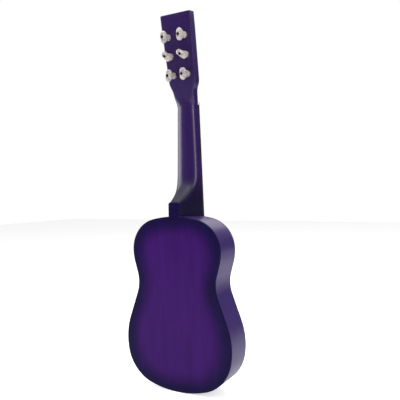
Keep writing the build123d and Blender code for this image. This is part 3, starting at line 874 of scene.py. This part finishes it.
@dataclass(frozen=True)
class BodyShell:
    """The hollow body: back with its heel button, soundboard and the two bent sides."""

    places: Places
    finishes: Finishes
    outline: BodyOutline = field(default_factory=BodyOutline)
    # Widths of the rings that carry the burst, from the edge inwards, in millimetres.
    burst_rings: tuple[float, ...] = (2.6, 2.4, 3.0, 4.0, 5.0, 6.0, 7.0, 8.0)
    side_thick: float = 2.2 * MM
    back_round: float = 1.9 * MM
    front_round: float = 1.4 * MM
    button_round: float = 4.0 * MM
    # How far below the crown the button starts, and how near its corners a point counts as one.
    crown_depth: float = 5.0 * MM
    corner_reach: float = 0.1 * MM
    round_steps: int = 5
    corner_steps: int = 6
    soundhole_radius: float = 29.0 * MM
    soundhole_sides: int = 96
    rosette_inner: float = 33.0 * MM
    rosette_sides: int = 128
    # How far a cutter stands out of the wood.
    cutter_past: float = 5.0 * MM
    side_rows: int = 4

    def _plate(self, name: str, y: float, outwards: float) -> Piece:
        """A flat plate's outer face, inset in rings that carry the burst.

        Args:
            name: The plate's name.
            y: Its outer plane.
            outwards: 1 for the back, -1 for the soundboard.

        Returns:
            The face with its rings.
        """
        plate = self.outline.trace(name, y)
        with editing(plate, Element.FACES):
            bpy.ops.mesh.edge_face_add()
            if bmesh.from_edit_mesh(plate.data).faces[:][0].normal.y * outwards < 0:
                bpy.ops.mesh.flip_normals()
            for width in self.burst_rings:
                bpy.ops.mesh.inset(thickness=width * MM, use_even_offset=True)
        return plate

    def _mark_edge(self, plate: Piece) -> None:
        """Store each point's distance from the outline, which drives the burst.

        Args:
            plate: A finished plate. Its button counts as edge.
        """
        ring = self.outline.ring()
        places = np.array([(v.co.x, v.co.z) for v in plate.data.vertices])
        apart = np.sqrt(((places[:, None, :] - ring[None, :, :]) ** 2).sum(axis=2)).min(axis=1) / MM
        apart[places[:, 1] > self.places.crown] = 0.0
        attribute = plate.data.attributes.new(EDGE_ATTRIBUTE, "FLOAT", "POINT")
        attribute.data.foreach_set("value", apart.astype(np.float32))

    def _thicken(self, plate: Piece, thick: float, rounding: float) -> None:
        """Give a plate its thickness and round the outer edge.

        Args:
            plate: The plate's outer face.
            thick: How thick it is.
            rounding: Radius of the outer edge.
        """
        modify(plate, "SOLIDIFY", thickness=thick, offset=-1.0)
        outer = self.places.back if plate.name == "back_skin" else self.places.front
        with editing(plate, Element.EDGES):
            # The outer face's rim: edges in its plane that a wall meets.
            pick(plate, Element.EDGES, lambda edge: all(abs(v.co.y - outer) < IN_PLANE for v in edge.verts)
                 and any(abs(face.normal.y) < 0.5 for face in edge.link_faces))
            bpy.ops.mesh.bevel(offset=rounding, segments=self.round_steps, affect="EDGES")

    def back(self) -> None:
        """The back, with the button that covers the heel's end."""
        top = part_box("back_plate")[1].z
        plate = self._plate("back_skin", self.places.back, 1.0)
        half, crown = self.outline.button_half, self.places.crown
        with editing(plate, Element.EDGES):
            pick(plate, Element.EDGES, lambda edge: edge.is_boundary and all(
                abs(v.co.x) < half + IN_PLANE and v.co.z > crown - self.crown_depth for v in edge.verts))
            extrude((0, 0, self.crown_depth))
            bpy.ops.transform.resize(value=(1, 1, 0))
            bpy.ops.mesh.select_mode(type="VERT")
            shape = bmesh.from_edit_mesh(plate.data)
            rise = top - max(v.co.z for v in shape.verts if v.select)
            bpy.ops.transform.translate(value=(0, 0, rise))
            reach = self.corner_reach
            pick(plate, Element.POINTS, lambda v: v.co.z > top - reach and abs(v.co.x) > half - reach)
            bpy.ops.mesh.bevel(offset=self.button_round, segments=self.corner_steps, affect="VERTICES")
        self._thicken(plate, self.places.back - self.places.back_inner, self.back_round)
        self._mark_edge(plate)
        place_on(plate, self.finishes.body, ROOT_BODY, "back_plate")

    def soundboard(self) -> None:
        """The soundboard, with its soundhole and the channel that the rosette is let into."""
        plate = self._plate("front_skin", self.places.front, -1.0)
        self._thicken(plate, self.places.front_inner - self.places.front, self.front_round)
        outside = Vector((0, self.places.front - self.cutter_past, SOUNDHOLE_HEIGHT))
        inside = Vector((0, self.places.front_inner + self.cutter_past, SOUNDHOLE_HEIGHT))
        cut_away(plate, rod(
            "soundhole_cut", outside, inside, self.soundhole_radius, self.soundhole_sides))
        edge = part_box("rosette_lines")[1]
        floor, past = Vector((0, edge.y, SOUNDHOLE_HEIGHT)), Vector((0, MM, 0))
        channel = rod("rosette_cut", outside, floor, edge.x, self.rosette_sides)
        cut_away(channel, rod(
            "rosette_keep", outside - past, floor + past, self.rosette_inner, self.rosette_sides))
        cut_away(plate, channel)
        self._mark_edge(plate)
        place_on(plate, self.finishes.body, ROOT_BODY, "soundboard")

    def sides(self) -> None:
        """The two bent sides, glued between the plates and split at the tail and crown."""
        strip = self.outline.trace("side_strip", self.places.front_inner)
        deep = self.places.back_inner - self.places.front_inner
        with editing(strip, Element.EDGES):
            for _ in range(self.side_rows):
                extrude((0, deep / self.side_rows, 0))
            bpy.ops.mesh.select_all(action="SELECT")
            bpy.ops.mesh.normals_make_consistent(inside=False)
        modify(strip, "SOLIDIFY", thickness=self.side_thick, offset=-1.0, use_even_offset=True)
        for name, node, keep in (("side_bass", "rim_bass", 1.0), ("side_treble", "rim_treble", -1.0)):
            half = copy_of(strip, name)
            with editing(half, Element.FACES):
                bpy.ops.mesh.bisect(
                    plane_co=(0, 0, 0), plane_no=(keep, 0, 0), clear_outer=True, use_fill=True)
            place_on(half, self.finishes.side, ROOT_BODY, node)
        bpy.data.objects.remove(strip)

    def build(self) -> None:
        """Make the body's visible pieces."""
        self.back()
        self.soundboard()
        self.sides()


# ---- neck
@dataclass(frozen=True)
class Section:
    """One section of the neck: its place, the way its depth runs, its sizes and how square it is."""

    middle: Vector
    deep_way: Vector
    half: float
    deep: float
    taper: float
    fullness: float


@dataclass(frozen=True)
class Neck:
    """Heel, shaft and headstock in one piece of lacquered wood.

    Each section is flat in front. Behind, it is a superellipse whose fullness goes from nearly square
    at the heel to rounded on the shaft and square again at the headstock.
    """

    places: Places
    finishes: Finishes
    around: int = 56
    crisp_angle: float = 40.0
    # Heights, and half the width at the nut and at the body's edge, in millimetres.
    foot: float = 268.6
    sweep_end: float = 336.0
    shaft_end: float = 437.0
    nut: float = 447.0
    nut_half: float = 17.5
    joint: float = 270.5
    joint_half: float = 22.3
    sweep_step: float = 1.25
    shaft_step: float = 5.0
    # Height and depth of the wood behind the fingerboard's plane, in millimetres.
    depths: tuple[tuple[float, float], ...] = (
        (268.6, 49.9), (290.5, 49.9), (292.5, 49.0), (296.0, 44.4), (300.0, 38.2), (304.0, 32.4),
        (308.0, 27.6), (313.0, 23.0), (319.0, 19.3), (326.0, 17.1), (336.0, 15.9), (355.0, 15.3),
        (380.0, 15.1), (411.0, 15.1), (434.0, 15.1), (452.0, 15.0))
    # The heel turns into the shaft from this height, over this length.
    rise_from: float = 289.0
    rise_long: float = 42.0
    heel_taper: float = 0.46
    heel_fullness: float = 6.0
    shaft_fullness: float = 2.3
    head_fullness: float = 22.0
    # The headstock, in millimetres along its face from its foot.
    head_deep: float = 14.2
    head_long: float = 137.4
    head_top_half: float = 26.8
    head_round: float = 1.2
    lean_from: float = -14.0
    lean_long: float = 26.0
    square_from: float = -10.0
    square_long: float = 34.0
    fine_rows: tuple[float, float, float] = (-14.0, 44.0, 1.5)
    coarse_rows: tuple[float, float, float] = (46.0, 134.4, 7.0)
    # Rows round the top edge, as distances below it.
    top_rows: tuple[float, ...] = (1.2, 0.7, 0.3, 0.0)
    taper_stop: float = 20.0
    flare_start: float = 12.0
    flare_from: float = 18.3
    flare_to: float = 24.4
    flare_angle: float = 27.0

    def _depth(self, height: float) -> float:
        """Read the depth curve smoothly between its points.

        Args:
            height: Where to read it, in millimetres.

        Returns:
            The depth in millimetres.
        """
        x, y = (np.array(column) for column in zip(*self.depths))
        gaps = np.diff(y) / np.diff(x)
        slope = np.concatenate(([gaps[0]], (gaps[:-1] + gaps[1:]) / 2, [gaps[-1]]))
        i = int(np.clip(np.searchsorted(x, height) - 1, 0, len(x) - 2))
        gap = x[i + 1] - x[i]
        t = float(np.clip((height - x[i]) / gap, 0, 1))
        start = (2 * t ** 3 - 3 * t ** 2 + 1) * y[i] + (t ** 3 - 2 * t ** 2 + t) * gap * slope[i]
        return float(start + (3 * t ** 2 - 2 * t ** 3) * y[i + 1] + (t ** 3 - t ** 2) * gap * slope[i + 1])

    def _head_half(self, along: float) -> float:
        """Half the headstock's width: a waist, an S-shaped flare and a slow taper.

        Args:
            along: Distance from the headstock's foot in millimetres.

        Returns:
            Half the width in millimetres.
        """
        reach = self.flare_to - self.flare_from
        radius = reach / (2 * (1 - math.cos(math.radians(self.flare_angle))))
        long = 2 * radius * math.sin(math.radians(self.flare_angle))
        past = along - self.flare_start
        if past <= 0:
            share = max(0.0, 1 + past / self.flare_start)
            return self.nut_half + (self.flare_from - self.nut_half) * share
        if past < long / 2:
            return self.flare_from + radius - math.sqrt(radius ** 2 - past ** 2)
        if past < long:
            return self.flare_to - radius + math.sqrt(radius ** 2 - (long - past) ** 2)
        left = self.head_long - self.taper_stop - self.flare_start - long
        wider = (self.head_top_half - self.flare_to) * (past - long) / left
        return min(self.head_top_half, self.flare_to + wider)

    def _shaft(self) -> list[Section]:
        """Sections square to the neck, from the heel's foot to the nut."""
        heights = (*np.arange(self.foot, self.sweep_end, self.sweep_step),
                   *np.arange(self.sweep_end, self.shaft_end, self.shaft_step))
        sections = []
        for height in heights:
            share = (self.nut - height) / (self.nut - self.joint)
            rise = smoothstep((height - self.rise_from) / self.rise_long)
            square = self.heel_fullness ** (1 - rise) * self.shaft_fullness ** rise
            sections.append(Section(
                Vector((0, self.places.front, height * MM)), Vector((0, 1, 0)),
                (self.nut_half + (self.joint_half - self.nut_half) * share) * MM, self._depth(height) * MM,
                self.heel_taper + (1 - self.heel_taper) * rise, square))
        return sections

    def _head(self) -> list[Section]:
        """Sections that lean over into the headstock and run to its top."""
        up, foot = self.places.head_up, self.places.head_foot
        end, nut_deep = self.head_long, self.depths[-1][1]
        sections = []
        for along in (*np.arange(*self.fine_rows), *np.arange(*self.coarse_rows),
                      *(end - below for below in self.top_rows)):
            lean = smoothstep((along - self.lean_from) / self.lean_long)
            square = smoothstep((along - self.square_from) / self.square_long)
            way = Vector((0, 0, 1)).lerp(up, lean).normalized()
            middle = foot + (up if along > 0 else Vector((0, 0, 1))) * along * MM
            over = max(0.0, along - (end - self.head_round))
            trim = self.head_round - math.sqrt(max(0.0, self.head_round ** 2 - over ** 2))
            deep = nut_deep + (self.head_deep - nut_deep) * lean - trim
            sections.append(Section(
                middle, Vector((0, way.z, -way.y)), (self._head_half(along) - trim) * MM, deep * MM, 1.0,
                self.shaft_fullness ** (1 - square) * self.head_fullness ** square))
        return sections

    def _points(self, section: Section) -> list[Vector]:
        """Lay a section's points, from its bass front corner round the back to the treble one.

        Args:
            section: The section.

        Returns:
            Its points in order.
        """
        points = []
        for i in range(self.around):
            turn = math.pi * (1 - i / (self.around - 1))
            side = math.copysign(abs(math.cos(turn)) ** (2 / section.fullness), math.cos(turn))
            back = abs(math.sin(turn)) ** (2 / section.fullness)
            x = section.half * side * (1 - (1 - section.taper) * back)
            points.append(section.middle + Vector((x, 0, 0)) + section.deep_way * section.deep * back)
        return points

    def build(self) -> None:
        """Extrude a ring section by section, lay each on its curve and close both ends."""
        sections = self._shaft() + self._head()
        wood = start_piece(
            "neck_wood", bpy.ops.mesh.primitive_circle_add, vertices=self.around, radius=MM,
            fill_type="NGON")
        with editing(wood, Element.FACES):
            for _ in sections[1:]:
                extrude((0, 0, MM))
        rings: dict[int, list[bpy.types.MeshVertex]] = {}
        for point in wood.data.vertices:
            rings.setdefault(round(point.co.z / MM), []).append(point)
        for row, section in enumerate(sections):
            ring = sorted(rings[row], key=lambda point: math.atan2(point.co.y, point.co.x))
            for point, place in zip(ring, self._points(section)):
                point.co = place
        place_on(wood, self.finishes.neck, ROOT_BODY, "neck", self.crisp_angle)


# ---- tuner knobs
@dataclass(frozen=True)
class Band:
    """One ring round a knob: how far out it is, its radius, and how far its halves stand apart."""

    out: float
    radius: float
    spread: float


@dataclass(frozen=True)
class Knobs:
    """The six moulded knobs: a round hub against the washer and an oval paddle at the end."""

    places: Places
    finishes: Finishes
    sides: int = 24
    # Distances in millimetres from the knob's foot outwards.
    bands: tuple[Band, ...] = (
        Band(0.0, 4.2, 0.0), Band(0.7, 4.9, 0.0), Band(2.6, 5.2, 0.0), Band(5.2, 5.2, 0.0),
        Band(7.4, 4.9, 0.1), Band(9.2, 4.6, 0.9), Band(10.6, 4.4, 2.4), Band(12.2, 4.4, 4.3),
        Band(14.0, 4.4, 5.2), Band(16.0, 4.2, 5.2), Band(17.6, 3.9, 4.5), Band(18.8, 3.3, 3.4),
        Band(19.4, 2.6, 2.4))
    end_inset: float = 1.2 * MM
    # Points further than this from the middle belong to one half of the paddle.
    off_middle: float = 0.05 * MM
    # From the headstock's face to a knob's foot: the wood and the washer.
    foot_out: float = 15.3 * MM
    # How far each paddle is turned from square to the headstock's edge, in degrees.
    turns: tuple[float, ...] = (14.0, -38.0, 4.0, 6.0, -48.0, 4.0)

    def model(self) -> Piece:
        """Model one knob about the Z axis, its foot at the origin.

        Returns:
            The knob.
        """
        def lies_at(out: float) -> Callable[[bmesh.types.BMFace], bool]:
            """A test for faces that lie across the knob at one distance."""
            return lambda face: all(abs(v.co.z - out * MM) < IN_PLANE for v in face.verts)

        first = self.bands[0]
        knob = start_piece(
            "tuner_knob", bpy.ops.mesh.primitive_circle_add, vertices=self.sides,
            radius=first.radius * MM, fill_type="NGON")
        with editing(knob, Element.FACES):
            for last, band in zip(self.bands, self.bands[1:]):
                extrude((0, 0, (band.out - last.out) * MM))
                grow = band.radius / last.radius
                bpy.ops.transform.resize(value=(grow, grow, 1))
                apart = (band.spread - last.spread * grow) * MM
                for side in (1, -1):
                    pick(knob, Element.POINTS, lambda v: abs(v.co.z - band.out * MM) < IN_PLANE
                         and v.co.x * side > self.off_middle)
                    bpy.ops.transform.translate(value=(side * apart, 0, 0))
                pick(knob, Element.FACES, lies_at(band.out))
            bpy.ops.mesh.inset(thickness=self.end_inset)
            pick(knob, Element.FACES, lies_at(first.out))
            bpy.ops.mesh.inset(thickness=self.end_inset)
        modify(knob, "SUBSURF", levels=2, render_levels=2)
        return knob

    def build(self) -> None:
        """Copy the knob to each tuner."""
        model = self.model()
        for number, turn in zip(STRINGS, self.turns):
            knob = copy_of(model, f"knob_{number}")
            knob.matrix_world = self._place(number, turn)
            place_on(knob, self.finishes.knob, f"tuner_{number}", f"tuner_{number}_knob")
        bpy.data.objects.remove(model)

    def _place(self, number: int, turn: float) -> Matrix:
        """Where a knob goes: its foot on the washer, its paddle turned about the post.

        Args:
            number: The tuner's number.
            turn: The paddle's turn from square, in degrees.

        Returns:
            The knob's place and turn.
        """
        outwards, along = -self.places.head_out, self.places.head_up
        axes = Matrix((along.cross(outwards), along, outwards)).transposed()
        spin = Matrix.Rotation(math.radians(-(90 + turn)), 3, "Z")
        post = self.places.tuners[number]
        behind = (post - self.places.head_foot).dot(self.places.head_out)
        return Matrix.Translation(post + outwards * (self.foot_out + behind)) @ (axes @ spin).to_4x4()


# ---- what stays as modelled
@dataclass(frozen=True)
class Kept:
    """The modelled nodes whose shape is right, each with its real finish."""

    finishes: Finishes

    @staticmethod
    def _wires(*numbers: int) -> tuple[str, ...]:
        """Name some strings and their turns on the posts."""
        return tuple(name for n in numbers for name in (f"string_{n}", f"tuner_{n}_winding"))

    def build(self) -> None:
        """Dress them."""
        use = self.finishes
        table: dict[Material, tuple[str, ...]] = {
            use.raw: ("neck_block", "tail_block", "top_linings", "back_linings", "soundboard_braces",
                      "back_braces", "bridge_plate"),
            use.dyed: ("fingerboard", "bridge"),
            use.nickel: ("tuner_bushings", "tuner_washers", *(f"tuner_{n}_post" for n in STRINGS)),
            use.fret: ("frets",),
            use.steel: self._wires(1, 2, 3),
            use.bronze: self._wires(4, 5, 6),
            use.brass: ("string_ball_ends",),
            use.black: ("neck_screw", *(f"tuner_{n}_screw" for n in STRINGS)),
            use.ivory: ("nut", "saddle", "bridge_pins"),
            use.pearl: ("fret_markers",),
            use.mosaic: ("rosette_band",),
            use.line: ("rosette_lines",),
        }
        for material, names in table.items():
            for name in names:
                dress(frame["nodes"][name], material)
                log.info("%s: %s", name, material.name)


# ---- studio
@dataclass(frozen=True)
class Softbox:
    """A white area light: where it stands, its size and its power."""

    name: str
    place: tuple[float, float, float]
    size: tuple[float, float]
    power: float


@dataclass(frozen=True)
class Studio:
    """Glossy white floor, white surroundings, softboxes and the camera."""

    softboxes: tuple[Softbox, ...] = (
        Softbox("top_box", (0.0, 0.3, 1.9), (1.6, 1.6), 18.0),
        Softbox("left_box", (1.42, 0.30, 0.65), (1.3, 1.5), 24.0),
        Softbox("right_strip", (-1.5, 0.75, 0.75), (0.35, 1.4), 12.0),
        Softbox("rear_top_box", (0.3, -1.5, 1.15), (1.2, 0.5), 3.0),
    )
    camera_place: tuple[float, float, float] = (-0.40666, 0.67619, 0.30795)
    # The camera's lens and sensor in millimetres, and its turns in radians.
    lens: float = 44.86
    sensor: float = 36.0
    yaw: float = 0.509
    pitch: float = -0.017
    roll: float = -0.021
    # What the softboxes face.
    aim: tuple[float, float, float] = (0.0, 0.0, 0.28)
    floor_size: float = 8.0
    # How bright the surroundings are low down and overhead, and the heights they change between.
    horizon: float = 0.06
    zenith: float = 1.3
    low: float = 0.1
    high: float = 0.95

    def camera(self) -> None:
        """Stand the camera behind the guitar, towards its bass side."""
        deselect_all()
        bpy.ops.object.camera_add()
        camera = bpy.context.object
        turns = ((math.pi + self.yaw, "Z"), (math.pi / 2 + self.pitch, "X"), (self.roll, "Z"))
        camera.matrix_world = Matrix.Translation(self.camera_place)
        for angle, axis in turns:
            camera.matrix_world = camera.matrix_world @ Matrix.Rotation(angle, 4, axis)
        camera.data.lens = self.lens
        camera.data.sensor_width = self.sensor
        bpy.context.scene.camera = camera

    def lights(self) -> None:
        """Hang the softboxes."""
        for box in self.softboxes:
            deselect_all()
            bpy.ops.object.light_add(type="AREA", location=box.place)
            light = bpy.context.object
            light.name = box.name
            aim = Vector(self.aim) - Vector(box.place)
            light.rotation_euler = aim.to_track_quat("-Z", "Y").to_euler()
            light.data.shape = "RECTANGLE"
            light.data.size, light.data.size_y = box.size
            light.data.energy = box.power
            light.visible_camera = False

    def floor(self) -> None:
        """Lay the floor: white acrylic sheet, with a soft reflection."""
        floor = start_piece("floor", bpy.ops.mesh.primitive_plane_add, size=self.floor_size)
        dress(floor, AcrylicSheet().build())

    def surroundings(self) -> None:
        """White behind the guitar; dim at the horizon and bright overhead for its gloss."""
        bpy.context.scene.view_settings.view_transform = "Standard"
        world = bpy.data.worlds.new("white_studio")
        bpy.context.scene.world = world
        world.use_nodes = True
        tree = world.node_tree
        tree.nodes.clear()
        way = add_node(tree, "TexCoord")
        apart = add_node(tree, "SeparateXYZ", links={0: way.outputs["Generated"]})
        rise = add_node(
            tree, "MapRange", links={"Value": apart.outputs["Z"]},
            values={"From Min": self.low, "From Max": self.high, "To Min": self.horizon,
                    "To Max": self.zenith},
            interpolation_type="SMOOTHSTEP")
        dim = add_node(tree, "Background", links={"Strength": rise},
                       values={"Color": (1, 1, 1, 1)})
        white = add_node(tree, "Background", values={"Color": (1, 1, 1, 1), "Strength": 1.0})
        path = add_node(tree, "LightPath")
        mixed = add_node(tree, "MixShader", links={0: path.outputs["Is Camera Ray"], 1: dim, 2: white})
        add_node(tree, "OutputWorld", links={0: mixed})

    def build(self) -> None:
        """Set the studio up."""
        self.camera()
        self.floor()
        self.lights()
        self.surroundings()


def main() -> None:
    """Build the guitar and the studio in order."""
    logging.basicConfig(level=logging.INFO, format="%(name)s: %(message)s")
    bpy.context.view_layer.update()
    places = Places.read(frame)
    finishes = Finishes()
    Studio().build()
    Kept(finishes).build()
    BodyShell(places, finishes).build()
    Neck(places, finishes).build()
    Knobs(places, finishes).build()


if __name__ == "__main__":
    main()
